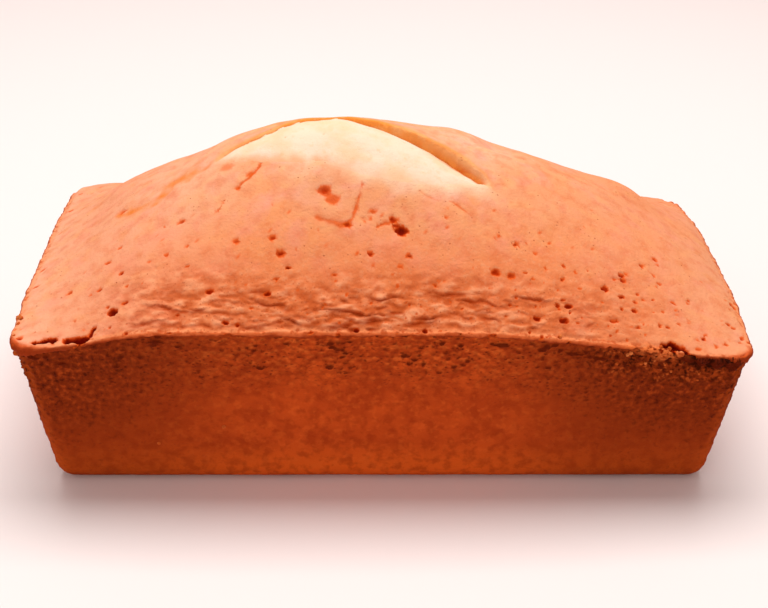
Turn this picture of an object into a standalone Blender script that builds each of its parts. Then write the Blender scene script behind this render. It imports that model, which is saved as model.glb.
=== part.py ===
"""Pound cake loaf, turned out of a 9 x 5 inch tin: one solid, with a domed crust that has split.

Metres, +Z up, +X along the loaf. The origin is at the middle of the flat base, and -Y is the front.
"""

import math

import bmesh
import bpy

MM = 0.001

# The tin: a tapered box with round corners.
BASE_LENGTH = 201.6 * MM  # where the sides would meet the floor, before the edge is rounded
BASE_WIDTH = 105.0 * MM
TIN_DRAFT = math.radians(10.0)
CORNER_RADIUS = 5.0 * MM
BASE_EDGE_RADIUS = 5.0 * MM

# The rim, where the side crust meets the top crust. It is lowest at the four corners.
RIM_CORNER_HEIGHT = 50.0 * MM
RIM_FALL_TO_RIGHT = 1.5 * MM  # from the middle to the +X end
RIM_RISE_TO_BACK = 0.6 * MM
RIM_ARCH_ENDS = 3.7 * MM  # how far the rim rises between two corners at an end
RIM_LONG_SIDE_HEIGHT = 57.2 * MM
RIM_OVERHANG = 1.0 * MM  # the crust's lip, where batter crept over the tin's wall
RIM_OVERHANG_DEPTH = 4.0 * MM
RIM_OVERHANG_POWER = 8  # a higher power starts the lip nearer to the rim, on the top crust

# Shoulders: where the rim starts to fall towards a corner and where it ends, as shares of the half side.
LEFT_SHOULDER = (0.60, 0.96)
RIGHT_SHOULDER = (0.20, 0.91)
END_SHOULDER = (0.33, 0.98)

# The dome of the top crust.
DOME_RISE = 41.9 * MM  # above the rim, at the summit
SUMMIT = -0.17  # as a share of the half length
LEFT_SLOPE = (0.32, 1.0)  # how gently the ridge bends at the summit, and the power of its fall to the end
RIGHT_SLOPE = (0.53, 0.78)
CROSS_POWER = 1.85

# The split: a lens-shaped opening in the crust, with pale crumb swelling up in it. Where a size is a
# pair, it changes evenly from the first at the -X tip to the second at the +X tip.
SPLIT_CENTRE = (-11.1 * MM, -13.6 * MM)
SPLIT_LENGTH = 85.0 * MM
SPLIT_WIDTH = 23.0 * MM
SPLIT_TURN = math.radians(-10.8)
SPLIT_POINTEDNESS = 0.75  # a higher power narrows the lens sooner towards its tips
SPLIT_TIP_GAP = 0.001  # the lens's ends stop this share short of its points
SPLIT_DEPTH = 8.0 * MM
CRUST_LIFT = 1.5 * MM  # how far the swelling crumb has pushed up the crust around the split
CRUST_LIFT_REACH = 18.0 * MM
BACK_LIP_STEP = (0.8 * MM, 3.6 * MM)  # how far the crumb's edge lies below the crust
FRONT_LIP_STEP = 0.4 * MM
CRUMB_SWELL = (3.6 * MM, 2.4 * MM)  # how far the crumb swells up between its edges
SWELL_POWER = 1.2  # a higher power ends the swelling sooner towards the tips
CRUMB_OVERLAP = 1.05  # how much larger than the opening the crumb is, under the crust
CRUMB_DEPTH = 20.0 * MM

# How finely the surfaces are divided.
CUTS_ALONG, CUTS_ACROSS = 62, 34
BASE_EDGE_ROWS, WALL_ROWS = 3, 6
SPLIT_CUTS_ALONG, SPLIT_CUTS_ACROSS = 34, 9
CLUSTERING = 0.25  # how much closer the divisions of the top are at the rim than in the middle
WALL_CLUSTERING = 0.7
CUTTER_HEIGHT = 40.0 * MM

CRUST_COLOUR = (0.50, 0.13, 0.04, 1.0)
CRUST_ROUGHNESS = 0.8


def smooth_step(start, end, value):
    """0 before start, 1 after end, with no corner between."""
    share = min(max((value - start) / (end - start), 0.0), 1.0)
    return share * share * (3.0 - 2.0 * share)


def rim_height(u, v):
    """Height of the rim. u and v run from -1 to 1 along and across the loaf."""
    shoulder = LEFT_SHOULDER if u < 0 else RIGHT_SHOULDER
    end = RIM_CORNER_HEIGHT - RIM_FALL_TO_RIGHT * u + RIM_RISE_TO_BACK * v
    end += RIM_ARCH_ENDS * (1.0 - smooth_step(*END_SHOULDER, abs(v)))
    share = smooth_step(*shoulder, abs(u))
    return RIM_LONG_SIDE_HEIGHT + (end - RIM_LONG_SIDE_HEIGHT) * share


def plan_point(u, v, height, outset=0.0):
    """Where (u, v) of a square lies in the tin's outline at that height, a rectangle with round corners."""
    half_length = BASE_LENGTH / 2 + math.tan(TIN_DRAFT) * height
    half_width = BASE_WIDTH / 2 + math.tan(TIN_DRAFT) * height
    x, y = half_length * abs(u), half_width * abs(v)
    across_corner = (x - half_length + CORNER_RADIUS) / CORNER_RADIUS
    along_corner = (y - half_width + CORNER_RADIUS) / CORNER_RADIUS
    normal_x, normal_y = float(abs(u) >= abs(v)), float(abs(v) >= abs(u))
    if across_corner > 0 and along_corner > 0:
        normal_x = across_corner * math.sqrt(1.0 - along_corner**2 / 2)
        normal_y = along_corner * math.sqrt(1.0 - across_corner**2 / 2)
        x = half_length - CORNER_RADIUS + CORNER_RADIUS * normal_x
        y = half_width - CORNER_RADIUS + CORNER_RADIUS * normal_y
    x += outset * normal_x
    y += outset * normal_y
    return math.copysign(x, u), math.copysign(y, v)


def crust_lift(x, y):
    """How far the crust is pushed up by the crumb that swells in the split, over a point of the plan."""
    east, north = x - SPLIT_CENTRE[0], y - SPLIT_CENTRE[1]
    along = (east * math.cos(SPLIT_TURN) + north * math.sin(SPLIT_TURN)) / (SPLIT_LENGTH / 2)
    across = north * math.cos(SPLIT_TURN) - east * math.sin(SPLIT_TURN)
    if abs(along) >= 1.0:
        return 0.0
    beyond = max(abs(across) - SPLIT_WIDTH / 2 * (1.0 - along**2) ** SPLIT_POINTEDNESS, 0.0)
    return CRUST_LIFT * (1.0 - along**2) * max(1.0 - beyond / CRUST_LIFT_REACH, 0.0) ** 2


def crust_height(u, v, x, y):
    """Height of the top crust at (u, v), which lies over (x, y): the rim, with the dome on it."""
    out = (u - SUMMIT) / (1.0 - SUMMIT) if u > SUMMIT else (SUMMIT - u) / (1.0 + SUMMIT)
    bend, power = RIGHT_SLOPE if u > SUMMIT else LEFT_SLOPE
    fall = (math.hypot(out, bend) - bend) / (math.hypot(1.0, bend) - bend)
    ridge = DOME_RISE * max(1.0 - fall, 0.0) ** power
    return rim_height(u, v) + ridge * (1.0 - abs(v) ** CROSS_POWER) + crust_lift(x, y)


def place_on_top(u, v):
    """A point of the top crust."""
    overhang = RIM_OVERHANG * max(abs(u), abs(v)) ** RIM_OVERHANG_POWER
    x, y = plan_point(u, v, rim_height(u, v), overhang)
    return x, y, crust_height(u, v, x, y)


def place_on_side(u, v, row):
    """A point of the side: a quarter circle up from the base, then the wall and its overhanging lip."""
    if row <= BASE_EDGE_ROWS:
        angle = math.pi / 2 * row / BASE_EDGE_ROWS
        height = BASE_EDGE_RADIUS * (1.0 - math.cos(angle))
        outset = BASE_EDGE_RADIUS * (math.sin(angle) - 1.0)
    else:
        share = (row - BASE_EDGE_ROWS) / WALL_ROWS
        wall = rim_height(u, v) - BASE_EDGE_RADIUS
        height = BASE_EDGE_RADIUS + wall * share * (1.0 + WALL_CLUSTERING * (1.0 - share))
        outset = RIM_OVERHANG * smooth_step(wall - RIM_OVERHANG_DEPTH, wall, height - BASE_EDGE_RADIUS)
    x, y = plan_point(u, v, height, outset)
    return x, y, height


def clustered(share):
    """Moves a division of -1 to 1 towards the nearer end."""
    return share * (1.0 + CLUSTERING * (1.0 - share**2))


def cut_along(bm, axis, cuts):
    """Loop cuts across every edge that runs along one axis."""
    edges = [e for e in bm.edges if abs(e.verts[0].co[axis] - e.verts[1].co[axis]) > 1.0]
    bmesh.ops.subdivide_edges(bm, edges=edges, cuts=cuts, use_grid_fill=True)


def make_loaf():
    """The whole loaf but for its split, from a box that is cut into a grid and shaped."""
    bm = bmesh.new()
    bmesh.ops.create_cube(bm, size=2.0)
    rows = BASE_EDGE_ROWS + WALL_ROWS
    for axis, cuts in enumerate((CUTS_ALONG, CUTS_ACROSS, rows - 1)):
        cut_along(bm, axis, cuts)
    floor = [f for f in bm.faces if f.normal.z < -0.5]
    bmesh.ops.dissolve_faces(bm, faces=floor)
    for vert in bm.verts:
        u, v = clustered(vert.co.x), clustered(vert.co.y)
        row = round((vert.co.z + 1.0) / 2.0 * rows)
        vert.co = place_on_top(u, v) if row == rows else place_on_side(u, v, row)
    return add_object("pound_cake", bm)


def crumb_rise(along, across):
    """How far the crumb lies above the crust. across runs from -1 at the front lip to 1 at the back lip."""
    rightness = (along + 1.0) / 2
    back_step, swell = (
        left + (right - left) * rightness for left, right in (BACK_LIP_STEP, CRUMB_SWELL)
    )
    step = FRONT_LIP_STEP + (back_step - FRONT_LIP_STEP) * (across + 1.0) / 2
    return swell * (1.0 - across**2) * (1.0 - along**2) ** SWELL_POWER - step


def make_lens(name, scale, rise, thickness):
    """A block that is a lens in plan. One face follows the crust at a rise above it."""
    bm = bmesh.new()
    bmesh.ops.create_grid(bm, x_segments=SPLIT_CUTS_ALONG, y_segments=SPLIT_CUTS_ACROSS, size=1.0)
    for vert in bm.verts:
        along, across = math.sin(vert.co.x * math.pi / 2) * (1.0 - SPLIT_TIP_GAP), vert.co.y
        east = scale * along * SPLIT_LENGTH / 2
        north = scale * across * SPLIT_WIDTH / 2 * (1.0 - along**2) ** SPLIT_POINTEDNESS
        x = SPLIT_CENTRE[0] + east * math.cos(SPLIT_TURN) - north * math.sin(SPLIT_TURN)
        y = SPLIT_CENTRE[1] + east * math.sin(SPLIT_TURN) + north * math.cos(SPLIT_TURN)
        vert.co = x, y, crust_height_over(x, y) + rise(along, across)
    extruded = bmesh.ops.extrude_face_region(bm, geom=bm.faces[:])
    moved = [g for g in extruded["geom"] if isinstance(g, bmesh.types.BMVert)]
    bmesh.ops.translate(bm, verts=moved, vec=(0.0, 0.0, thickness))
    bmesh.ops.recalc_face_normals(bm, faces=bm.faces[:])
    return add_object(name, bm)


def crust_height_over(x, y):
    """Height of the top crust over a point of the plan that is well inside the rim."""
    widening = math.tan(TIN_DRAFT) * RIM_LONG_SIDE_HEIGHT
    u, v = x / (BASE_LENGTH / 2 + widening), y / (BASE_WIDTH / 2 + widening)
    return crust_height(u, v, x, y)


def add_object(name, bm):
    mesh = bpy.data.meshes.new(name)
    bm.to_mesh(mesh)
    bm.free()
    return bpy.data.objects.new(name, mesh)


def crust_material():
    material = bpy.data.materials.new("baked_crust")
    material.use_nodes = True
    shader = material.node_tree.nodes["Principled BSDF"]
    shader.inputs["Base Color"].default_value = CRUST_COLOUR
    shader.inputs["Roughness"].default_value = CRUST_ROUGHNESS
    shader.inputs["Metallic"].default_value = 0.0
    return material


def new_collection(name):
    collection = bpy.data.collections.new(name)
    bpy.context.scene.collection.children.link(collection)
    return collection


def main():
    for obj in list(bpy.data.objects):
        bpy.data.objects.remove(obj)
    parts, cutters = new_collection("pound_cake_loaf"), new_collection("cutters")

    loaf = make_loaf()
    loaf.data.materials.append(crust_material())
    loaf.data.shade_smooth()
    parts.objects.link(loaf)

    opening = make_lens("split_opening", 1.0, lambda along, across: -SPLIT_DEPTH, CUTTER_HEIGHT)
    crumb = make_lens("split_crumb", CRUMB_OVERLAP, crumb_rise, -CRUMB_DEPTH)
    for helper, operation in ((opening, "DIFFERENCE"), (crumb, "UNION")):
        helper.hide_render = True
        helper.display_type = "WIRE"
        cutters.objects.link(helper)
        change = loaf.modifiers.new(helper.name, "BOOLEAN")
        change.operation = operation
        change.object = helper


main()
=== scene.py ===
# %% [markdown]
# # A pound cake loaf
# The real cake is one piece: batter that rose in a tapered tin, browned where it met the tin and the
# oven's air, and split along the top as its middle kept rising. We dress the plain solid of the frame
# with four modelled pieces: the top crust, the crust of the sides and base, the pale crumb that swells
# in the split, and the loose crumbs that cling to a torn stretch of the rim. Each is a mesh with real
# relief, so its pits and folds are there from every side.

# %% Load the frame and the libraries
import itertools
import math

import bmesh
import bpy
import numpy as np
from mathutils import Matrix, Vector
from mathutils.bvhtree import BVHTree


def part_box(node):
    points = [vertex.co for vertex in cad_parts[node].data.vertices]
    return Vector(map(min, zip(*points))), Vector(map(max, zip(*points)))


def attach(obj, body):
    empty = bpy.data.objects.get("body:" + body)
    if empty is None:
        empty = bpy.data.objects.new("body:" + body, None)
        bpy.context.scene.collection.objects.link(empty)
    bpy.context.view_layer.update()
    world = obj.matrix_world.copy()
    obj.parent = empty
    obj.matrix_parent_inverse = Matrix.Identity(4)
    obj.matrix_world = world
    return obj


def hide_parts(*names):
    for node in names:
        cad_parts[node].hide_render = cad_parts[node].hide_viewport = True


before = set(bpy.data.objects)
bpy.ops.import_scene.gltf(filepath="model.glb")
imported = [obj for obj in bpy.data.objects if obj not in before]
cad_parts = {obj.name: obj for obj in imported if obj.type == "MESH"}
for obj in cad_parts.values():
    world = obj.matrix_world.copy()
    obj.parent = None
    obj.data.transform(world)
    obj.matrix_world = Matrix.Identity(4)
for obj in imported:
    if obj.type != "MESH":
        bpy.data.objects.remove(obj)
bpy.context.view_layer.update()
scene = bpy.context.scene
MM = 0.001
LOW, HIGH = (np.array(corner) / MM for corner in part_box("pound_cake"))
print("the solid spans, in millimetres:", np.round(LOW, 1), np.round(HIGH, 1))

# %% [markdown]
# ## The loaf's form
# A loaf tin is a box whose walls lean out, with round corners. The side crust copies it. The top is a
# dome that stands on the rim, and the rim itself dips towards the four corners. We could project a fine
# grid onto the solid, but its flat facets would show. So we write the same form as formulas, sized from
# the frame's box, and can then ask for as many points as we like. u and v run from -1 to 1 along and
# across the loaf, and every length is in millimetres.

# %% Sizes of the loaf
TIN_SLOPE = math.tan(math.radians(10))  # how far the walls lean out, for each step up
CORNER_RADIUS, RIM_CORNER_RADIUS = 5, 6.5  # in plan, at the base and at the rim
BASE_EDGE_RADIUS = 5
RIM_OVERHANG = 1  # how far the bead stands out from the wall
RIM_CORNER = 50  # height of the rim at the corners
RIM_FALL_TO_RIGHT, RIM_RISE_TO_BACK = 1.5, 0.6  # and how uneven that is, from the middle to a side
RIM_ARCH_ENDS = 3.7  # how much higher the rim is in the middle of an end
RIM_LONG_SIDE = 57.2  # height of the rim along the middle of a long side
# From where to where the rim dips, as shares of the way from the middle of a side to its corner.
LEFT_SHOULDER, RIGHT_SHOULDER, END_SHOULDER = (0.60, 0.96), (0.20, 0.91), (0.33, 0.98)
CREST_SWELL = 1.7  # what the split's crumb adds at the crest
DOME_RISE = HIGH[2] - RIM_LONG_SIDE - CREST_SWELL
SUMMIT = -0.17  # u of the highest point
LEFT_SLOPE, RIGHT_SLOPE = (0.32, 1), (0.53, 0.78)  # how round the summit is, and how full the slope
CROSS_POWER = 1.85  # how full the dome is across the loaf
LEFT_END_BOW = 1.3  # how far the middle of the left end leans in
FRONT_RIM_LIFTS = ((-1, 0.15, 0.9), (-0.2, 0.8, 0.5), (0.7, 0.22, 1.9))  # u, reach and rise of each
RIM_HALF = (HIGH[:2] - LOW[:2]) / 2 - RIM_OVERHANG
BASE_HALF = RIM_HALF - TIN_SLOPE * np.array([RIM_CORNER + RIM_ARCH_ENDS, RIM_LONG_SIDE])
print("half sizes at the base:", np.round(BASE_HALF, 1))


# %% The rim and the tin's outline
def ramp(start, end, value):
    """0 before start, 1 after end, with no corner between."""
    share = np.clip((value - start) / (end - start), 0, 1)
    return share * share * (3 - 2 * share)


def rim_height(u, v):
    share = np.where(u < 0, ramp(*LEFT_SHOULDER, -u), ramp(*RIGHT_SHOULDER, u))
    end = RIM_CORNER - RIM_FALL_TO_RIGHT * u + RIM_RISE_TO_BACK * v
    end = end + RIM_ARCH_ENDS * (1 - ramp(*END_SHOULDER, abs(v)))
    lift = sum(rise * np.exp(-(((u - middle) / reach) ** 2)) for middle, reach, rise in FRONT_RIM_LIFTS)
    return RIM_LONG_SIDE + (end - RIM_LONG_SIDE) * share + lift * ramp(-0.3, -1, v)


def plan_point(u, v, height, outset):
    """Where (u, v) lies in the tin's outline at that height, moved out square to the outline."""
    half_length = BASE_HALF[0] + TIN_SLOPE * height
    half_width = BASE_HALF[1] + TIN_SLOPE * height
    bow = LEFT_END_BOW * ramp(0, 50, height) * ramp(-0.2, -1, u)
    half_length = half_length - bow * (1 - v * v)
    radius = CORNER_RADIUS + (RIM_CORNER_RADIUS - CORNER_RADIUS) * ramp(15, 50, height)
    x, y = half_length * abs(u), half_width * abs(v)
    p = (x - half_length + radius) / radius
    q = (y - half_width + radius) / radius
    corner = (p > 0) & (q > 0)
    normal_x = np.where(corner, p * np.sqrt(np.clip(1 - q * q / 2, 0, 1)), abs(u) >= abs(v))
    normal_y = np.where(corner, q * np.sqrt(np.clip(1 - p * p / 2, 0, 1)), abs(v) >= abs(u))
    x = np.where(corner, half_length - radius + radius * normal_x, x)
    y = np.where(corner, half_width - radius + radius * normal_y, y)
    return np.copysign(x + outset * normal_x, u), np.copysign(y + outset * normal_y, v)


def near_corner(u, v):
    """1 at the four corners of the rim, 0 along its sides."""
    return ramp(0.86, 0.99, abs(u * v))


def dome_height(u, v):
    """Height of the top crust: the rim, with the dome on it."""
    out = np.where(u > SUMMIT, (u - SUMMIT) / (1 - SUMMIT), (SUMMIT - u) / (1 + SUMMIT))
    bend = np.where(u > SUMMIT, RIGHT_SLOPE[0], LEFT_SLOPE[0])
    power = np.where(u > SUMMIT, RIGHT_SLOPE[1], LEFT_SLOPE[1])
    fall = (np.hypot(out, bend) - bend) / (np.hypot(1, bend) - bend)
    ridge = DOME_RISE * np.maximum(1 - fall, 0) ** power
    return rim_height(u, v) + ridge * (1 - abs(v) ** CROSS_POWER)


def dome_height_over(x, y):
    """The same, over a point of the plan that is well inside the rim."""
    widening = TIN_SLOPE * RIM_LONG_SIDE
    return dome_height(x / (BASE_HALF[0] + widening), y / (BASE_HALF[1] + widening))


print("height of the front rim, left to right:", np.round(rim_height(np.linspace(-1, 1, 5), -1), 1))
print("height of the summit:", np.round(dome_height(SUMMIT, 0), 1))

# %% [markdown]
# ## Random relief
# Nothing on a baked crust is even, so we need randomness that we can shape. Blender's Displace modifier
# with a noise texture would do for lumps. But the pits, folds and colours here all have to agree with
# each other, so we compute them with numpy at every vertex: smooth hills and hollows, and bubbles that
# the surface cuts open. A fixed mixing of whole numbers stands in for dice, so each run gives the same.

# %% Hills, hollows and bubbles
MIX = (73856093, 19349663, 83492791, 49979693)


def dice(cells, seed):
    """A number from 0 to 1 for each cell of a grid, the same for the same cell and seed."""
    cells = cells.astype(np.int64)
    mixed = seed * MIX[3]
    for axis in range(3):
        mixed = mixed ^ cells[:, axis] * MIX[axis]
    mixed = ((mixed ^ mixed >> 13) * 1274126177) & 0xFFFFFFFF
    return ((mixed ^ mixed >> 15) & 0xFFFFF) / 0xFFFFF


def hills(points, size, seed):
    """Smooth hills and hollows of about that size, from about -1 to 1."""
    grid = points / size
    cell = np.floor(grid)
    part = grid - cell
    ease = part**3 * (part * (part * 6 - 15) + 10)
    total = np.zeros(len(points))
    for corner in itertools.product((0, 1), repeat=3):
        rise = sum(
            (dice(cell + corner, seed + axis) * 2 - 1) * (part[:, axis] - corner[axis])
            for axis in range(3)
        )
        total += rise * np.where(corner, ease, 1 - ease).prod(axis=1)
    return total * 1.6


def bubbles(points, spacing, radius, seed, grow=0):
    """How deep each point lies in a bubble, in millimetres. Each cell of the spacing holds one bubble."""
    spacing = np.broadcast_to(np.asarray(spacing, float), 3)
    cell = np.floor(points / spacing)
    deepest = np.zeros(len(points))
    for step in itertools.product((-1, 0, 1), repeat=3):
        home = cell + step
        centre = np.stack([home[:, a] + dice(home, seed + a) for a in range(3)], axis=1) * spacing
        size = radius * (0.25 + 0.75 * dice(home, seed + 3) ** 2) + grow
        away = (((points - centre) / (spacing / spacing.min())) ** 2).sum(axis=1)
        deepest = np.maximum(deepest, np.sqrt(np.maximum(size**2 - away, 0)))
    return deepest


some_points = np.random.default_rng(1).uniform(-50, 50, (4000, 3))
some_hills = hills(some_points, 5, 1)
print("hills reach from", some_hills.min().round(2), "to", some_hills.max().round(2))
print("share of space inside bubbles:", (bubbles(some_points, 3, 1, 2) > 0).mean().round(3))

# %% [markdown]
# ## Where things are on the top crust
# The big features are listed in plan, seen from above: the outline of the split, the few large
# burst bubbles, and the thin cracks. Each outline has only the points that its shape needs, and a
# smooth curve runs through them.

# %% The outline of the split
SPLIT_BACK = ((-54, -8), (-46, -6.5), (-36, -4), (-24, -0.5), (-13, 0.5), (-3, -2), (8, -5), (18, -9),
              (26, -13.5), (31.5, -18), (33.5, -23))
SPLIT_FRONT = ((-54, -8), (-46, -11.5), (-38, -15.5), (-28, -19.5), (-18, -20.5), (-12, -23), (-4, -25.3),
               (8, -26), (20, -25.3), (28, -24.3), (33.5, -23))
SPLIT_ENDS = SPLIT_BACK[0][0], SPLIT_BACK[-1][0]
print("the split is", SPLIT_ENDS[1] - SPLIT_ENDS[0], "mm long")

# %% Burst bubbles on the top
# The x, y, radius and depth of each.
BIG_PITS = (
    (-18.1, -30.3, 1.9, 0.75), (-17, -31.6, 1.2, 0.5), (-15.6, -32.9, 2.3, 0.45), (2.5, -37.6, 1.3, 0.9),
    (4.9, -40.3, 1.9, 1.5), (3.4, -39.2, 1.2, 0.8),
    (-82.8, -7.7, 1.5, 0.45), (-48.1, -14.9, 2.4, 0.22), (-44.4, -24.4, 1, 0.4), (-40.9, -21, 1.5, 0.4),
    (-80.2, -54.7, 1.7, 1.7), (-76.7, -53, 1, 0.9), (-11.2, -39.6, 1.2, 0.8), (-33.4, -42.2, 1.2, 0.8),
    (-31, -46.2, 1.4, 0.9), (-4.5, -46.6, 0.9, 1), (7, -46.6, 0.9, 1), (32.6, -48.6, 1.6, 0.9),
    (37.5, -48.8, 1.5, 0.7), (-34.6, -55.1, 1.1, 1.2), (54.3, -54.2, 1.2, 1.2), (71.1, -47.9, 1.2, 1.1),
    (72.4, -41.8, 1.1, 0.9), (84.3, -27.8, 1.1, 0.7), (79.3, -33.2, 1, 0.7), (68, -56.1, 1.3, 0.9),
    (-51.4, -53.6, 1.2, 1), (-95.3, -39.5, 1.2, 0.7), (-79.1, -41.2, 1.1, 0.9), (-61.7, -29.4, 1.2, 0.6),
    (-85.7, -44.3, 1, 0.8), (-84.5, -34.1, 1, 0.8), (-86.3, -47.5, 0.8, 0.6), (-98.7, -27.4, 0.8, 0.5),
    (-91.2, -49, 0.8, 0.6), (-76.8, -47.2, 0.8, 0.6), (-70.6, -40.8, 0.9, 0.4), (-59.1, -39.1, 0.8, 0.4),
    (-80.9, -29.8, 1, 0.5), (-44.3, -41.5, 1.1, 0.6), (-46.5, -61, 1.1, 1.2), (39, -39.8, 0.9, 0.8),
    (82, -53.7, 0.9, 0.9), (75.4, -48.1, 0.9, 0.7), (91.8, -48.2, 0.8, 0.7), (-3.6, -35.7, 0.9, 0.5),
)
print(len(BIG_PITS), "burst bubbles, the deepest", max(pit[3] for pit in BIG_PITS), "mm deep")

# %% Thin cracks on the top
# The points that each one runs through, its half width and its depth.
CRACKS = (
    (((-37.2, -17.4), (-39.2, -20.6), (-41.8, -22.3), (-44.5, -24.6)), 0.9, 0.3),
    (((-48.4, -26.8), (-49.2, -28.6), (-50.4, -30.2)), 0.5, 0.3),
    (((-6.9, -28.8), (-8, -33), (-9.3, -37), (-11.2, -39.5)), 0.8, 0.24),
    (((-10.5, -39.4), (-12.5, -39.8), (-15, -39.2), (-20.5, -37.8)), 1.1, 0.22),
    (((-9.3, -37), (-5, -38)), 0.7, 0.12),
    (((2.8, -37.9), (0.2, -38.8), (-2.4, -39.8)), 0.8, 0.35),
    (((10.2, -29.4), (13, -30.6), (16.2, -31.4)), 0.6, 0.12),
    (((19.6, -30.8), (22.6, -32), (26.4, -34.2)), 0.6, 0.18),
    (((82, -60.9), (84.6, -60.1), (86.8, -60.7)), 1.2, 2.4), (((87.2, -60.4), (88.8, -61.5)), 1, 2),
    (((84, -61.8), (85, -62.2)), 0.8, 1.4), (((89.4, -61.9), (91.4, -62.6)), 0.7, 1.4),
    (((-102.2, -60), (-99.3, -59.3), (-96.6, -59.3)), 1.4, 2.4),
    (((-92.8, -61.2), (-89.5, -61.5), (-87, -61)), 1.3, 2.4),
    (((-86.4, -60.3), (-85.2, -58.6)), 1.3, 2),
)
# The rough patch where the front rim tore, near the right end: x and y of its middle, and its reach.
TORN_SPOT, TORN_REACH = (81.5, -63.4), (10.5, 2.3)
print(len(CRACKS), "cracks, the deepest", max(crack[2] for crack in CRACKS), "mm deep")

# %% Long level creases above the front rim
# The x and the height above the rim of each one's points, and its depth.
CREASES = (
    (((-40, 6.6), (-34, 6), (-28, 5.2)), 0.9),
    (((-24, 4.2), (-17, 4.7), (-11, 4.6), (-5, 3.7), (4, 3)), 1),
    (((-6, 7.7), (-1, 6.9), (4, 7.4)), 0.8), (((9, 8.1), (14, 8.8), (17, 7.8), (26, 8.7)), 0.8),
    (((20, 7.2), (25, 6.6), (30, 6.8)), 0.7), (((-31, 3), (-27, 2.1), (-24, 1.6)), 1.4),
    (((7, 2.7), (12, 3), (17, 2.9)), 0.7), (((-58, 4.6), (-52, 4.6)), 0.6), (((-41, 8.5), (-34, 8.8)), 0.6),
    (((-76, 1.5), (-70, 1.4), (-62, 2)), 0.5), (((-72, 4.6), (-64, 4.2), (-56, 4), (-51, 4.8)), 0.5),
    (((36, 7.6), (43, 7.5), (49, 7.3)), 0.7), (((27, 7), (35, 4.8)), 0.5), (((27, 3.3), (34, 2.4)), 0.7),
)
LOOSE_CREASES = 420
print(len(CREASES), "creases, and", LOOSE_CREASES, "short random ones")

# %% Swells and voids
# Where the skin stretched without tearing and stayed paler and more yellow.
STRETCH_MARK = ((-82.5, -8.2), (-77, -12.5), (-71.5, -14.8), (-68.2, -11), (-66, -7), (-62, -9), (-56, -8))
# Soft swells and dips of the crust: x, y, radius, rise.
SWELLS = ((24, 10, 11, 1.3), (37, 7, 9, -1.7), (-48, -16, 9, 0.5), (-22, -27, 9, 0.7), (12, -36, 12, 0.6),
          (-100, 56, 18, 2.8), (-83, 22, 18, 2), (80, 17, 15, 2.8), (-48, 3, 14, 1.3), (2, 8, 12, 0.4),
          (-33, 4, 9, 0.9), (-66, 10, 8, -0.9), (-15, 5, 8, -0.6), (92, 56, 16, 1.3), (104, 40, 16, 0.8))
# Voids in the side just under the front lip: x, depth below the rim, half length, half height, depth.
SLOTS = (
    (-29, 4.6, 1.2, 0.5, 0.8), (33.5, 4.1, 2.8, 0.6, 1.2), (16.5, 4.4, 1, 0.8, 1), (22, 5.3, 1, 0.6, 0.9),
    (5.5, 8.8, 1.3, 0.7, 0.8), (16.3, 15, 0.9, 0.6, 0.7), (-12.7, 9.6, 1, 0.5, 0.8),
    (-10.7, 3.8, 1.1, 0.5, 0.8), (-66.8, 3.8, 2, 0.6, 1), (-60.6, 5.6, 1.3, 0.6, 0.8),
    (46, 0.9, 1.5, 1.2, 1.2), (5, 0.9, 1.3, 1.1, 1), (56, 5.4, 3, 0.6, 0.9), (63.5, 6.2, 2.2, 0.6, 0.9),
    (88.5, 2.2, 2.4, 0.9, 1.1), (93.5, 1.8, 2.8, 1.1, 1.4), (98.5, 2, 2.8, 1.1, 1.5),
    (103, 2.6, 2.2, 1.5, 1.5), (-103, 4, 1.6, 0.6, 0.9), (-95, 6.5, 1.4, 0.6, 0.9),
)
print(len(SWELLS), "swells and", len(SLOTS), "voids")



# %% Where a point lies from the split and the rim
def curve_through(points, steps=12):
    """Points along a smooth curve (Catmull-Rom) that passes through the given ones."""
    p = np.array([points[0], *points, points[-1]], float)
    t = np.linspace(0, 1, steps, endpoint=False)[:, None]
    runs = [
        b + ((c - a) * t + (2 * a - 5 * b + 4 * c - d) * t**2 + (3 * b - a - 3 * c + d) * t**3) / 2
        for a, b, c, d in zip(p, p[1:], p[2:], p[3:])
    ]
    return np.vstack([*runs, p[-1:]])


BACK_CURVE, FRONT_CURVE = curve_through(SPLIT_BACK), curve_through(SPLIT_FRONT)


def behind_front(points):
    """How far points lie behind the split's front edge, in plan."""
    return points[:, 1] - np.interp(points[:, 0], *FRONT_CURVE.T)


def before_back(points):
    return np.interp(points[:, 0], *BACK_CURVE.T) - points[:, 1]


def along_split(points):
    """0 at the split's left tip, 1 at the right one."""
    return np.clip((points[:, 0] - SPLIT_ENDS[0]) / (SPLIT_ENDS[1] - SPLIT_ENDS[0]), 0, 1)


def paleness(points):
    """How little the surface has browned round the split. The crust and the crumb share it."""
    fade = 3 + 4 * ramp(-20, -5, points[:, 0])
    behind = behind_front(points) + 0.35 * fade * hills(points, 7, 111) + 0.8 * hills(points, 2.4, 114)
    tips = ramp(-56, -45, points[:, 0]) * ramp(38, 26, points[:, 0])
    return ramp(-fade, 0.7 * fade, behind) * tips


def above_rim(points):
    """How far points lie above the rim, or below it if negative."""
    half = BASE_HALF + TIN_SLOPE * np.minimum(points[:, 2:], RIM_LONG_SIDE)
    u, v = np.clip(points[:, :2] / half, -1, 1).T
    return points[:, 2] - rim_height(u, v)


print("the split reaches from y", FRONT_CURVE[:, 1].min().round(1), "to", BACK_CURVE[:, 1].max().round(1))

# %% [markdown]
# ## The top crust
# On the real cake this is a dry skin about a millimetre thick, which rolled over the tin's edge as a
# thin bead. It could be the solid's own top with a bump texture. But seen from the side such bumps
# vanish, so we model the relief: a fine grid, whose edge is extruded down round the bead and closed
# underneath, where nobody looks. While we build, a vertex doesn't hold its place but its address:
# u, v and the row of the bead. That way a face can be cut finer where a pit or crack will be, and the
# formulas then put old and new vertices alike in place.

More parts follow.
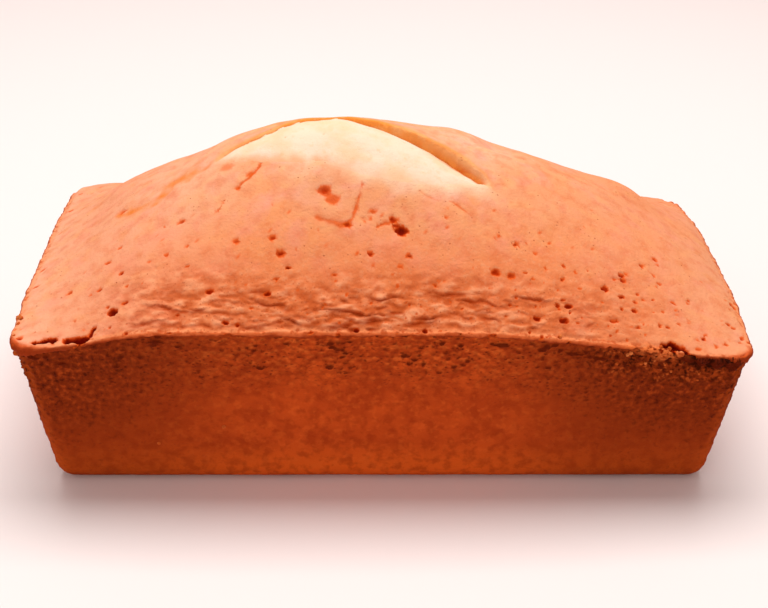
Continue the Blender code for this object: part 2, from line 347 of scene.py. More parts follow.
# %% The fine grid with a bead round its edge
TOP_CUTS = (240, 140)
BEAD_RADIUS = 0.9
BEAD_ANGLES = np.radians([90, 62, 34, 6, -22, -50])
CORNER_INSET = 0.5  # how much less the bead overhangs at the corners, where it is twice as deep
TUCK = (2.6, 2.4)  # how far in and down the skin is tucked behind the bead
UNDERSIDE = 40
BEAD_OUT = np.append(RIM_OVERHANG + BEAD_RADIUS * (np.cos(BEAD_ANGLES) - 1), [-TUCK[0], -2 * TUCK[0]])
BEAD_DOWN = np.append(BEAD_RADIUS * (1 - np.sin(BEAD_ANGLES)), [TUCK[1], 0])
print("the bead hangs", np.round(BEAD_DOWN[:-2].max(), 2), "mm below the rim")


def extrude_edge(bm):
    """Extrudes the open edge of a mesh once. The new vertices come back, still in their old place."""
    edges = [e for e in bm.edges if e.is_boundary]
    grown = bmesh.ops.extrude_edge_only(bm, edges=edges)["geom"]
    return [g for g in grown if isinstance(g, bmesh.types.BMVert)]


def extrude_rows(bm, rows):
    """Extrudes the open edge row by row, and closes it. z holds the row, counted down from 0."""
    for row in range(1, rows):
        for vert in extrude_edge(bm):
            vert.co.z = -row
    bmesh.ops.contextual_create(bm, geom=[e for e in bm.edges if e.is_boundary])


def top_grid():
    bm = bmesh.new()
    bmesh.ops.create_grid(bm, x_segments=TOP_CUTS[0], y_segments=TOP_CUTS[1], size=1.0)
    extrude_rows(bm, len(BEAD_OUT))
    return bm


def top_place(address):
    """The smooth top crust, before any relief."""
    u, v, row = address[:, 0], address[:, 1], -address[:, 2]
    edge = np.maximum(abs(u), abs(v)) ** 8
    rim = rim_height(u, v)
    rows = np.arange(len(BEAD_OUT))
    corner = near_corner(u, v)
    x, y = plan_point(u, v, rim, edge * (np.interp(row, rows, BEAD_OUT) - CORNER_INSET * corner))
    z = dome_height(u, v) - np.interp(row, rows, BEAD_DOWN) * (1 + corner)
    return np.stack([x, y, np.where(row > len(BEAD_OUT) - 1.5, UNDERSIDE, z)], axis=1)


def addresses(bm):
    return np.array([vert.co[:] for vert in bm.verts])


# %% [markdown]
# ## Relief of the top crust
# Five things shape it. Soft swells come from the batter's uneven rise. Near the front and back rim the
# skin set first and was then pushed, so it lies in fine level folds. Burst bubbles left pits, and thin
# cracks run out from the split. Round the split the crust is lifted, and inside it drops steeply to
# below the crumb at the back, but slips gently under it at the front.

# %% Folds and creases near the long rims
UP_THE_SLOPE = 1.3  # along the slope, for each step up, near the long rims


def wavering(points, size, amount, seed):
    """The points, each moved a little sideways, which makes round things ragged."""
    return points + amount * np.stack([hills(points, size, seed + 3 * a) for a in range(3)], axis=1)


def near_long_rim(points):
    """1 in the middle of the front and back just above the rim, fading upwards and to the corners."""
    x, y, _ = points.T
    right = 0.55 * ramp(98, 60, x) + 0.45 * ramp(55, 15, x)
    sides = ramp(-98, -55, x) * right
    front = ramp(17, 6, above_rim(points)) * sides
    return front * np.where(y < 0, 1, 0.6) * ramp(30, 46, abs(y))


def loose_creases():
    """Random short creases on both long sides, more of them near the rim."""
    throw = np.random.default_rng(5)
    for number in range(LOOSE_CREASES):
        x, half = throw.uniform(-80, 88), throw.uniform(0.8, 4.5)
        up = 0.4 + 12 * throw.random() ** 1.2
        tilt = throw.uniform(-0.12, 0.12) * half
        depth = throw.uniform(0.1, 0.5) * (1.2 - up / 15) * (1.3 - abs(x) / 80)
        yield (((x - half, up - tilt), (x + half, up + tilt)), depth, -1 if number % 3 else 1)


def crease_relief(points):
    """Rise and painted shade along the creases: the skin overhangs each one a little from above."""
    x, y, up = points[:, 0], points[:, 1], above_rim(points)
    zone = (abs(y) > 36) & (up > -1.5) & (up < 18)
    x, y, up = x[zone], y[zone], up[zone]
    flat = np.stack([x, up * 1.5, np.sign(y) * 40], axis=1)
    wave = 0.7 * hills(flat, 9, 121) + 0.4 * hills(flat, 3, 124) + 0.12 * hills(flat, 1.2, 127)
    rise, dark = np.zeros((2, len(x)))
    placed = [(route, depth, -1) for route, depth in CREASES]
    for route, depth, side in [*placed, *loose_creases()]:
        xs, ups = np.array(route, float).T
        near = (x > xs[0]) & (x < xs[-1]) & (np.sign(y) == side)
        away = (up[near] - np.interp(x[near], xs, ups) + wave[near]) * UP_THE_SLOPE
        taper = np.sin(math.pi * (x[near] - xs[0]) / (xs[-1] - xs[0])) ** 0.7
        above = np.maximum(away, 0)
        cut = np.where(away < 0, np.exp(away / 0.6), np.exp(-((above / 0.25) ** 2)))
        fold = 0.7 * np.minimum(above / 0.4, 1) * np.exp(-above / 1.1)
        rise[near] += 0.6 * taper * depth * (fold - cut)
        # the painted shade along each crease
        line = np.exp(-((away / np.where(away < 0, 0.75, 0.35)) ** 2))
        dark[near] = np.maximum(dark[near], taper * line * min(depth * 1.8, 1))
    relief = np.zeros((2, len(points)))
    relief[:, zone] = rise, dark
    return relief


widths = [route[-1][0] - route[0][0] for route, _, _ in loose_creases()]
print("the short random creases are", np.mean(widths).round(1), "mm wide on average")


# %% Cracks and pits
PIT_SPACING, PIT_RADIUS = 5.2, 1
PORE_SPACING, PORE_RADIUS = 2.3, 0.55


def distance_to(route, plan, reach=4):
    """Distance in plan from each point to a curve, or infinity beyond the reach."""
    line = curve_through(route, 6)
    away = np.full(len(plan), np.inf)
    near = (abs(plan - line.mean(axis=0)) < np.ptp(line, axis=0) / 2 + reach).all(axis=1)
    for start, end in zip(line, line[1:]):
        run = end - start
        share = np.clip((plan[near] - start) @ run / (run @ run), 0, 1)
        gap = np.linalg.norm(plan[near] - start - share[:, None] * run, axis=1)
        away[near] = np.minimum(away[near], gap)
    return away


def crack_depth(points, grow=0):
    """How deep each point lies in a crack. The width wavers along the crack."""
    plan = wavering(points, 2.2, 0.35, 131)[:, :2]
    waver = hills(points, 2.5, 41)
    deepest = np.zeros(len(points))
    for route, half_width, depth in CRACKS:
        width = half_width * (1 + 0.7 * waver) + grow
        cut = ramp(width, 0.1 * width, distance_to(route, plan))
        deepest = np.maximum(deepest, depth * (1 + 0.6 * waver) * cut)
    return deepest


def pit_depth(points, grow=0):
    """How deep each point lies in a burst bubble: the listed ones, and scattered small ones."""
    wavy = wavering(wavering(points, 1.6, 0.4, 51), 0.7, 0.2, 151)
    deepest = np.zeros(len(points))
    pits = np.array(BIG_PITS)
    heights = dome_height_over(pits[:, 0], pits[:, 1])
    for (x, y, radius, depth), z in zip(pits, heights):
        away = np.linalg.norm((wavy - (x, y, z)) * (0.85, 1.25, 1.25), axis=1) / (radius + grow)
        deepest = np.maximum(deepest, depth * np.maximum(1 - away**2, 0) ** 0.7)
    x, y, _ = points.T
    clear = ramp(1, 8, -behind_front(points)) + ramp(45, 60, abs(x))
    crowd = 0.35 + 0.65 * ramp(16, 46, abs(y)) * np.minimum(clear, 1)
    crowd *= 1 + 0.35 * ramp(25, 55, x) - 0.22 * ramp(-20, -45, x)
    flat = wavy * (0.8, 1.15, 1.15)
    deepest = np.maximum(deepest, bubbles(flat, PIT_SPACING, PIT_RADIUS * crowd, 61, grow))
    fine = bubbles(flat, PORE_SPACING, PORE_RADIUS * crowd, 71, grow * 0.5)
    return np.maximum(deepest, fine)


def torn_spot(points):
    """1 in the middle of the torn patch of the front rim, 0 outside it, with a ragged outline."""
    plan = wavering(points, 3, 1.1, 181)[:, :2]
    away = np.hypot(*((plan - TORN_SPOT) / TORN_REACH).T)
    return ramp(1.2, 0.7, away)


middles = np.array([(x, y, dome_height_over(x, y)) for x, y, _, _ in BIG_PITS])
print("depth at the middles of the burst bubbles:", pit_depth(middles).mean().round(2), "mm on average")


# %% The split, the swells and the grain of the skin
CRUST_LIFT, LIFT_REACH = 1.5, 14
SPLIT_DEPTH = 9
BACK_WALL = (1.3, 3.4)  # how wide in plan the steep wall under the back lip is, left and right


def back_wall(points):
    return BACK_WALL[0] + (BACK_WALL[1] - BACK_WALL[0]) * ramp(0.5, 0.95, along_split(points))


def split_drop(points):
    """How far the crust drops inside the split's outline."""
    x = points[:, 0]
    front = behind_front(points) + 1.3 * hills(points, 7, 81) + 0.3 * hills(points, 2.2, 84)
    back = before_back(points) + 0.4 * hills(points, 4, 87) + 0.2 * hills(points, 1.6, 88)
    within = (x > SPLIT_ENDS[0]) & (x < SPLIT_ENDS[1])
    return SPLIT_DEPTH * within * ramp(0, 9, front) * ramp(0, 1, back / back_wall(points))


def split_lift(points):
    """The crust round the split is pushed up, most along the back lip, which is rolled over."""
    beyond = np.maximum(np.maximum(-before_back(points), -behind_front(points)), 0)
    bow = np.sin(math.pi * along_split(points)) ** 0.8
    lip = 0.5 * ramp(3.6, 0.9, abs(beyond - 0.9)) * (before_back(points) < 0)
    return bow * (CRUST_LIFT * ramp(LIFT_REACH, 0, beyond) + lip)


def mound(points, x, y, length, width):
    """1 at x, y, fading softly to 0 over about that length and width."""
    return np.exp(-(((points[:, 0] - x) / length) ** 2) - ((points[:, 1] - y) / width) ** 2)


def swells(points):
    total = 0.5 * hills(points, 26, 91) + 0.3 * hills(points, 9, 94)
    for x, y, radius, rise in SWELLS:
        total += rise * mound(points, x, y, radius / math.sqrt(2), radius / math.sqrt(2))
    return total


def blush(points):
    """Where the skin stayed paler and pinker: towards the ends and in two patches by the split."""
    ends = ramp(-30, -80, points[:, 0]) + 0.35 * ramp(30, 80, points[:, 0])
    return ends + 0.8 * mound(points, 30, 2, 14, 12) + 0.7 * mound(points, -24, -23, 9, 5)


def skin_grain(points):
    """The finest unevenness of the skin, calmer towards the back and the ends."""
    calm = 0.3 + 0.7 * ramp(0, -40, points[:, 1]) * ramp(105, 70, abs(points[:, 0]))
    return calm * (0.14 * hills(points, 2.4, 101) + 0.09 * hills(points, 1, 104))


print("the swells move the skin by", np.ptp(swells(middles)).round(1), "mm in all")

# %% [markdown]
# ## From relief to mesh
# Blender gives the direction that each vertex faces, so a dent goes straight in, whatever the slope.
# The mesh is shaped twice: once smooth, to learn those directions, and once with the relief. What the
# relief knows is also painted on the mesh as attributes, and the finish reads them: a pit gets painted
# shade inside because it is a pit, and not because a picture says so.

# %% Helpers that cut finer, shape and paint a mesh
def cut_finer(bm, place, wanted):
    """Halves the edges of the faces where wanted(points) is true."""
    bm.verts.ensure_lookup_table()
    bm.verts.index_update()
    marks = wanted(place(addresses(bm)))
    edges = [e for e in bm.edges if marks[e.verts[0].index] and marks[e.verts[1].index]]
    edges = [e for e in edges if all(len(f.verts) == 4 for f in e.link_faces)]
    bmesh.ops.subdivide_edges(bm, edges=edges, cuts=1, use_grid_fill=True)


def add(name, data):
    """Puts a mesh, light or camera into the scene as an object."""
    obj = bpy.data.objects.new(name, data)
    scene.collection.objects.link(obj)
    return obj


def mesh_object(name, bm):
    bmesh.ops.recalc_face_normals(bm, faces=bm.faces[:])
    mesh = bpy.data.meshes.new(name)
    bm.to_mesh(mesh)
    bm.free()
    mesh.shade_smooth()
    return add(name, mesh)


def shape(obj, points):
    """Puts the vertices in place and returns the direction that each one faces."""
    mesh = obj.data
    mesh.vertices.foreach_set("co", (points * MM).astype(np.float32).ravel())
    mesh.update()
    facing = np.empty(len(mesh.vertices) * 3, np.float32)
    mesh.vertices.foreach_get("normal", facing)
    return facing.reshape(-1, 3).astype(float)


def paint(obj, **layers):
    for name, values in layers.items():
        layer = obj.data.attributes.new(name, "FLOAT", "POINT")
        layer.data.foreach_set("value", np.clip(values, 0, 1).astype(np.float32))


def report(obj):
    obj.data.calc_loop_triangles()
    print(f"{obj.name}: {len(obj.data.vertices)} vertices, {len(obj.data.loop_triangles)} triangles")


# %% Where the top crust is cut finer
def by_back_lip(points, reach):
    within = (points[:, 0] > SPLIT_ENDS[0]) & (points[:, 0] < SPLIT_ENDS[1])
    middle = back_wall(points) / 2
    return within & (abs(before_back(points) - middle) < middle + reach)


def finer_top(points):
    """Where the top crust needs finer faces: pits, cracks, creases, and the split's lip."""
    folded = (near_long_rim(points) > 0.15) & (above_rim(points) > -0.5) & (points[:, 1] < 0)
    marked = (pit_depth(points, 0.4) > 0) | (crack_depth(points, 0.4) > 0) | (torn_spot(points) > 0.02)
    return marked | by_back_lip(points, 1.8) | folded


def finest_top(points):
    folded = (near_long_rim(points) > 0.5) & (abs(above_rim(points) - 3.8) < 4.5) & (points[:, 1] < 0)
    marked = (pit_depth(points, 0.15) > 0.45) | (crack_depth(points) > 0.1) | (torn_spot(points) > 0.1)
    return marked | by_back_lip(points, 0.6) | folded


print("burst bubbles that get the finest faces:", finest_top(middles).sum())


# %% Build the top crust
BITE_SPACING, BITE_RADIUS, BITE_DEPTH = 3.4, 1.1, 1.4  # ragged nicks in the bead


def build_top_crust():
    bm = top_grid()
    cut_finer(bm, top_place, finer_top)
    cut_finer(bm, top_place, finest_top)
    address = addresses(bm)
    obj = mesh_object("top_crust", bm)
    smooth = top_place(address)
    facing = shape(obj, smooth)
    (u, v, _), row = address.T, -address[:, 2]
    seen, on_top = row < len(BEAD_ANGLES) - 0.5, row < 0.5
    at_rim = np.maximum(abs(u), abs(v))
    along, back = along_split(smooth), before_back(smooth)
    drop = split_drop(smooth) * on_top
    open_crust = 1 - ramp(0, 1.5, drop)
    rise, dark = crease_relief(smooth)
    pit, crack = pit_depth(smooth) * open_crust, crack_depth(smooth) * open_crust
    bead = ramp(0.983, 0.998, at_rim)
    folded = near_long_rim(smooth)
    level = wavering(smooth, 4, 1, 191) * (0.4, 1, 1)
    ridges = hills(level, 2.2, 11) + 0.6 * hills(level, 1.1, 14)
    height = swells(smooth) * (1 - 0.7 * bead) + rise + folded * 0.42 * ridges
    height += skin_grain(smooth)
    bites = BITE_DEPTH * bubbles(smooth, BITE_SPACING, BITE_RADIUS, 171) * ramp(0.965, 0.985, at_rim)
    corner = near_corner(u, v)
    height += bead * (1 + corner) * (0.3 * hills(smooth, 4, 107) + 0.32 * hills(smooth, 1.6, 109))
    stretched = ramp(3, 1, distance_to(STRETCH_MARK, smooth[:, :2]) + 1.2 * hills(smooth, 3.5, 161))
    height -= 0.3 * stretched
    torn = torn_spot(smooth)
    ragged = hills(smooth, 2.2, 184) + 0.6 * hills(smooth, 1, 187)
    height -= np.maximum(np.maximum(pit, crack), bites) + torn * (0.3 - 0.8 * ragged)
    lift = split_lift(smooth) * on_top - drop
    lip = ramp(-2.4, -0.4, back) * ramp(4, 2.6, back) * ramp(-1, 1.5, behind_front(smooth))
    shape(obj, smooth + (facing * height[:, None] + np.outer(lift, (0, 0, 1))) * seen[:, None])
    paint(
        obj,
        hollow=np.maximum(np.maximum(pit, bites) / 1.5, crack * (crack > 0.5) / 0.9),
        crack=ramp(0.02, 0.3, crack),
        torn=torn,
        under=ramp(2.4, 4.6, 2.2 * ramp(0.7, 0.9, abs(u)) + row + 0.9 * hills(smooth, 1.8, 109)),
        roll=ramp(0.8, 2.2, 2 * corner + row + 0.5 * hills(smooth, 3, 113)),
        crease=dark,
        valley=folded * ramp(0.15, -0.5, ridges),
        ridge=folded * ramp(0.1, 0.7, ridges),
        baked=ramp(40, 5, above_rim(smooth)) * (1 - 0.6 * abs(u) ** 2.2),
        blush=blush(smooth),
        stretched=stretched * (0.6 + hills(smooth, 4, 164)),
        folded=folded,
        bead=bead,
        tip=bead * corner,
        pale=paleness(smooth) * ramp(-0.5, 1.5, back),
        shade=ramp(0.3, 3.5, drop) * ramp(0.6, 0.85, along) * ramp(4.5, 2, back),
        lip=lip * np.sin(math.pi * along) ** 0.4,
    )
    report(obj)
    return obj


top_crust = build_top_crust()

# %% [markdown]
# ## The crust of the sides and base
# This crust browned against metal, so it is flat and much darker than the top, and full of fine holes
# where bubbles touched the tin, most of them near the rim. One ring of vertices, the outline of the
# underside, is extruded up the wall row by row and then tucked in under the top crust, which hides
# where it is closed.

# %% Sizes of the side crust
SIDE_CUTS = (248, 140)
EDGE_ROWS, WALL_ROWS = 5, 62
FINE_BAND = 15  # how far down from the rim the faces are finer
WALL_FLARE = 0.35


def side_ring():
    bm = bmesh.new()
    bmesh.ops.create_grid(bm, x_segments=1, y_segments=1, size=1.0)
    bmesh.ops.delete(bm, geom=bm.faces[:], context="FACES_ONLY")
    for axis in (0, 1):
        edges = [e for e in bm.edges if abs(e.verts[0].co[axis] - e.verts[1].co[axis]) > 1]
        bmesh.ops.subdivide_edges(bm, edges=edges, cuts=SIDE_CUTS[axis] - 1)
    bmesh.ops.contextual_create(bm, geom=bm.edges[:])
    extrude_rows(bm, EDGE_ROWS + WALL_ROWS + 2)
    return bm


def side_place(address):
    """The smooth side: a quarter circle up from the base, the wall, and the tuck under the top."""
    u, v, row = address[:, 0], address[:, 1], -address[:, 2]
    rim = rim_height(u, v)
    angle = np.clip(row / EDGE_ROWS, 0, 1) * math.pi / 2
    share = np.clip((row - EDGE_ROWS) / WALL_ROWS, 0, 1)
    top = rim - BEAD_RADIUS
    height = BASE_EDGE_RADIUS * (1 - np.cos(angle)) + (top - BASE_EDGE_RADIUS) * share
    flare = WALL_FLARE * ramp(0.9, 1, share) * (1 - near_corner(u, v))
    outset = BASE_EDGE_RADIUS * (np.sin(angle) - 1) + flare
    tucked = row > EDGE_ROWS + WALL_ROWS + 0.5
    x, y = plan_point(u, v, height, np.where(tucked, -2 * TUCK[0], outset))
    return np.stack([x, y, np.where(tucked, UNDERSIDE + 4, height)], axis=1)


ring_length = 4 * RIM_HALF.sum()
print("about", np.round(ring_length / (2 * sum(SIDE_CUTS)), 2), "mm between the vertices of a ring")


# %% Pores and torn strips of the side
SIDE_PORE_SPACING, SIDE_PORE_RADIUS = (2.6, 2.6, 1.6), 0.66
TINY_PORE_SPACING, TINY_PORE_RADIUS = (1.5, 1.5, 1), 0.42


def side_pores(points):
    """How deep each point of the side lies in a bubble. They crowd below the rim and thin out downwards."""
    below = -above_rim(points)
    wavy = wavering(wavering(points, 1.5, 0.4, 201), 0.7, 0.2, 251)
    reach = 24 + 14 * (points[:, 0] / 100) ** 2
    crowd = 0.35 + 0.65 * ramp(1.2 * reach, 0.4 * reach, below)
    crowd = crowd * (1 + 0.5 * hills(points, 14, 211))
    wide = bubbles(wavy, SIDE_PORE_SPACING, SIDE_PORE_RADIUS * crowd, 221)
    tiny = bubbles(wavy, TINY_PORE_SPACING, TINY_PORE_RADIUS * crowd, 231)
    deepest = np.maximum(wide, tiny)
    for x, low, half_length, half_height, depth in SLOTS:
        away = np.hypot((wavy[:, 0] - x) / half_length, (below - low) / half_height)
        away += 0.4 * hills(points, 1.2, 261) + 0.35 * hills(points, 2.5, 264)
        deepest = np.maximum(deepest, depth * np.sqrt(np.maximum(1 - away**2, 0)) * (points[:, 1] < 0))
    return deepest


def torn_band(points):
    """The strips below the rim where the skin tore and rough crumb shows, one in front and one behind."""
    x, y, _ = points.T
    front = ramp(52, 72, x) * ramp(108, 98, x) * (y < 0)
    back = ramp(-95, -70, x) * ramp(-20, -40, x) * (y > 0)
    depth = -above_rim(points) + 3 * hills(points, 6, 281)
    return (front + back) * ramp(13, 7, depth) * (abs(y) > 45)


front_wall = np.stack(np.broadcast_arrays(np.linspace(-100, 100, 2000), -60.0, 50.0), axis=1)
print("share of the upper front wall inside pores:", (side_pores(front_wall) > 0).mean().round(2))


# %% Build the side crust
GASH, GASH_DEPTH = (85, 91, 103, 107), 1.1  # x of the ragged gap under the front bead, and its depth


def build_side_crust():
    bm = side_ring()
    cut_finer(bm, side_place, lambda points: above_rim(points) > -FINE_BAND)
    address = addresses(bm)
    obj = mesh_object("side_crust", bm)
    smooth = side_place(address)
    facing = shape(obj, smooth)
    (u, v, _), row = address.T, -address[:, 2]
    (x, y, z), below = smooth.T, -above_rim(smooth)
    wall = ramp(0, EDGE_ROWS, row) * (row < EDGE_ROWS + WALL_ROWS + 0.5)
    pores = side_pores(smooth)
    torn = torn_band(smooth)
    corner = abs(u * v)
    grainy = smooth * (0.6, 0.6, 1)
    ragged = hills(grainy, 1.3, 247) + 0.5 * hills(grainy, 0.7, 250)
    rough = ramp(24, 4, below)
    gash = np.interp(x, GASH, (0, 1, 1, 0)) * (y < 0) * ramp(5.2, 2.6, below + 1.5 * ragged)
    height = 0.3 * hills(smooth, 22, 241) + 0.14 * hills(smooth, 5, 244)
    height += (0.07 + 0.2 * rough + 0.5 * torn + 0.35 * ramp(0.9, 1, corner)) * ragged
    height -= 0.9 * pores + GASH_DEPTH * gash
    shape(obj, smooth + facing * (height * wall)[:, None])
    grains = rough + torn
    paint(
        obj,
        hollow=pores / 0.8,
        torn=torn,
        grain=grains * ramp(0, 0.7, ragged),
        gap=grains * ramp(0, -0.7, ragged),
        upper=ramp(30 + 12 * (x / 100) ** 2, 4, below),
        lower=ramp(18, 4, z),
        ends=ramp(0.25, 0.9, corner * np.where(u > 0, 1.2, 1)) * (0.65 + 0.35 * ramp(8, 30, z)),
        edge=ramp(0.955, 0.99, corner) * (0.7 + 0.6 * ragged),
        spot=torn_spot(smooth),
        gash=gash,
    )
    report(obj)
    return obj


side_crust = build_side_crust()

# %% [markdown]
# ## The crumb in the split
# Here the batter rose last and never browned. It swells like a cushion between the lips: just under
# the crust along the front, and well below the lip at the back. A grid that runs from tip to tip and
# from the front edge to the back one is puffed up and extruded down to make it a closed piece.

# %% Build the crumb
CRUMB_CUTS = (230, 74)
CRUMB_REACH = 2.2  # how far the crumb runs on under the crust
CRUMB_THICKNESS = 14
BACK_STEP = (1.3, 6.8)  # how far below the lip the crumb lies, at the left and at the right
CRUMB_SWELL = (3.2, 2.4)


def build_crumb():
    bm = bmesh.new()
    bmesh.ops.create_grid(bm, x_segments=CRUMB_CUTS[0], y_segments=CRUMB_CUTS[1], size=1.0)
    grown = bmesh.ops.extrude_face_region(bm, geom=bm.faces[:])["geom"]
    lower = [g for g in grown if isinstance(g, bmesh.types.BMVert)]
    bmesh.ops.translate(bm, verts=lower, vec=(0, 0, -1))
    along, across, layer = addresses(bm).T
    obj = mesh_object("split_crumb", bm)
    along = np.sin(along * math.pi / 2)
    middle, half = sum(SPLIT_ENDS) / 2, (SPLIT_ENDS[1] - SPLIT_ENDS[0]) / 2
    x = middle + along * half
    front, back = np.interp(x, *FRONT_CURVE.T) - CRUMB_REACH, np.interp(x, *BACK_CURVE.T) + CRUMB_REACH
    y = front + (back - front) * (across + 1) / 2
    smooth = np.stack([x, y, dome_height_over(x, y)], axis=1)
    right = along_split(smooth)
    back_step = BACK_STEP[0] + (BACK_STEP[1] - BACK_STEP[0]) * ramp(0.42, 0.95, right)
    swell = CRUMB_SWELL[0] + (CRUMB_SWELL[1] - CRUMB_SWELL[0]) * right
    bulge = (1 - across**2) ** (1 + 0.6 * ramp(0, -0.5, across))
    rise = swell * bulge * np.clip(1 - along**2, 0, 1) ** 1.2 - back_step * ((across + 1) / 2) ** 1.5
    skin = split_lift(smooth) + swells(smooth) + skin_grain(smooth)
    bumps = 0.3 * hills(smooth, 9, 301) + 0.15 * hills(smooth, 3.2, 304)
    pores = bubbles(smooth, 2.2, 0.42, 311)
    open_crumb = ramp(0, 5, behind_front(smooth))
    high = smooth.copy()
    high[:, 2] += skin + rise + open_crumb * (bumps - 0.7 * pores) - 0.05 + layer * CRUMB_THICKNESS
    shape(obj, high)
    back_edge = before_back(smooth)
    paint(
        obj,
        hollow=pores / 0.42 * open_crumb,
        toast=1 - paleness(smooth),
        shade=ramp(5.5, 2.5, back_edge) * ramp(0.7, 0.95, right),
    )
    report(obj)
    return obj


split_crumb = build_crumb()

# %% [markdown]
# ## Crumbs on the rim
# Where the rim tore, small lumps of crumb still cling to it, and a few sit elsewhere on the wall. Each
# is a small sphere made lumpy by the same hills, with its middle just inside the crust, so that it
# looks baked on. The places are random along the torn stretches, apart from a dozen that stand out.

# %% Build the clinging crumbs
# x, y, depth below the rim and radius of the ones that stand out.
PLACED_CRUMBS = (
    (77.5, -64, 0.6, 0.6), (80.8, -63, 0, 0.6), (83.4, -63, 0, 0.65), (86.2, -64, 0.8, 0.5),
    (72.5, -64, 3.2, 0.6), (-51, -64, 36, 0.6), (-72.7, -64, 41.8, 0.7), (-112, -57.5, 5, 1.5),
    (50.5, -63.4, 0, 0.6), (-112, -46, 0.3, 1.2), (-112, -49, 0.6, 0.9), (-112, -56, 0.5, 0.9),
)
LOOSE_CRUMBS = 30
CRUMB_FACES = 3  # how often each small sphere is divided


def near_rim(x, y, below):
    """A point of the crust over x, y, or, where below isn't 0, of the wall that far below the rim."""
    half = BASE_HALF + TIN_SLOPE * np.array([RIM_CORNER, RIM_LONG_SIDE])
    u, v = np.clip(np.array([x, y]) / half, -1, 1)
    if below > 0:
        u, v = (u, np.sign(v)) if abs(v) > abs(u) else (np.sign(u), v)
    height = dome_height(u, v) - below
    place = plan_point(np.array([u]), np.array([v]), np.array([height]), -0.3)
    return np.array([place[0][0], place[1][0], height])


def build_rim_crumbs():
    throw = np.random.default_rng(9)
    lumps = [(near_rim(x, y, below), radius) for x, y, below, radius in PLACED_CRUMBS]
    for number in range(LOOSE_CRUMBS):
        x, y = (throw.uniform(62, 104), -64) if number % 4 else (throw.uniform(-88, -30), 64)
        lumps.append((near_rim(x, y, 0.6 + 9 * throw.random()), throw.uniform(0.35, 0.6)))
    bm = bmesh.new()
    centres = []
    for place, radius in lumps:
        made = bmesh.ops.create_icosphere(bm, subdivisions=CRUMB_FACES, radius=radius)["verts"]
        bmesh.ops.translate(bm, verts=made, vec=place)
        centres += [place] * len(made)
    points, centres = addresses(bm), np.array(centres)
    obj = mesh_object("rim_crumbs", bm)
    rough = 1 + 0.6 * hills(points, 1.1, 401) + 0.25 * hills(points, 0.45, 404)
    shape(obj, centres + (points - centres) * rough[:, None])
    paint(obj, hollow=ramp(1, 0.7, rough))
    report(obj)
    return obj


rim_crumbs = build_rim_crumbs()

# %% [markdown]
# ## Finish
# A baked crust is matte. Its colour isn't one brown: heat, thickness and moisture vary, so it is
# mottled at several scales. On top of that we paint shade into every hollow and along every crease,
# and painted highlights onto raised ridges, grains and corners. We could paint a picture for that. A
# tree of noise textures on Object coordinates needs no picture, has no seams, and stays sharp at any
# size. The attributes steer it.

# %% Colours
def colour(red, green, blue):
    """A colour given as a screen shows it, from 0 to 255, in the linear numbers that a shader takes."""
    shares = np.array([red, green, blue]) / 255
    linear = np.where(shares <= 0.04045, shares / 12.92, ((shares + 0.055) / 1.055) ** 2.4)
    return (*linear, 1)


print("golden crust in linear numbers:", np.round(colour(230, 160, 116), 3))


